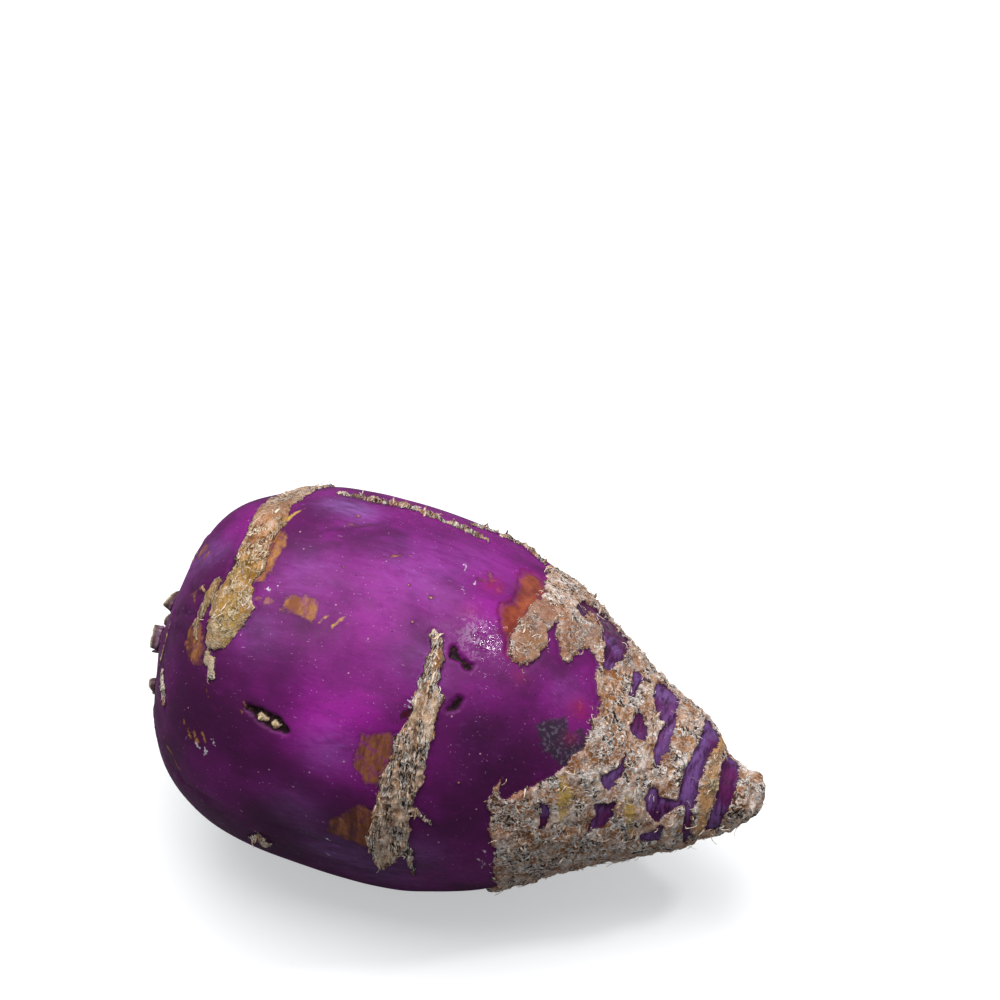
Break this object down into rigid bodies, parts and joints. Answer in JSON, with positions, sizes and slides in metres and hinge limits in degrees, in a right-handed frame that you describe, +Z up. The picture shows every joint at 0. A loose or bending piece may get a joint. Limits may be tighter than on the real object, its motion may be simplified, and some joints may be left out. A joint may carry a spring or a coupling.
{
  "type": "purple kohlrabi",
  "caption": "Whole purple kohlrabi lying on its side: a round swollen stem with corky leaf scars, a corky root end and trimmed leaf stubs on the crown.",
  "frame": {"origin": "middle of the footprint of the whole kohlrabi, on the surface that it lies on", "axes": "+X along the length towards the root end, +Z up; the long axis dips 5 degrees towards the root"},
  "size_m": [0.1652, 0.0984, 0.0982],
  "materials": {
    "skin": "smooth waxy purple skin with a soft sheen, crossed by dry tan cork",
    "stalk": "shrivelled purple-brown leaf stalk with a dry cut face",
    "bud": "small yellow-green leaves, dry at the tips",
    "cork": "dry fibrous cork, tan to grey-brown"
  },
  "bodies": {
    "root": {"bulb": "skin", "crown_bud": "bud", "leaf_stub_1": "stalk", "leaf_stub_2": "stalk", "leaf_stub_3": "stalk", "leaf_stub_4": "stalk", "leaf_stub_5": "stalk", "leaf_stub_6": "stalk", "leaf_stub_7": "stalk"}
  },
  "joints": []
}
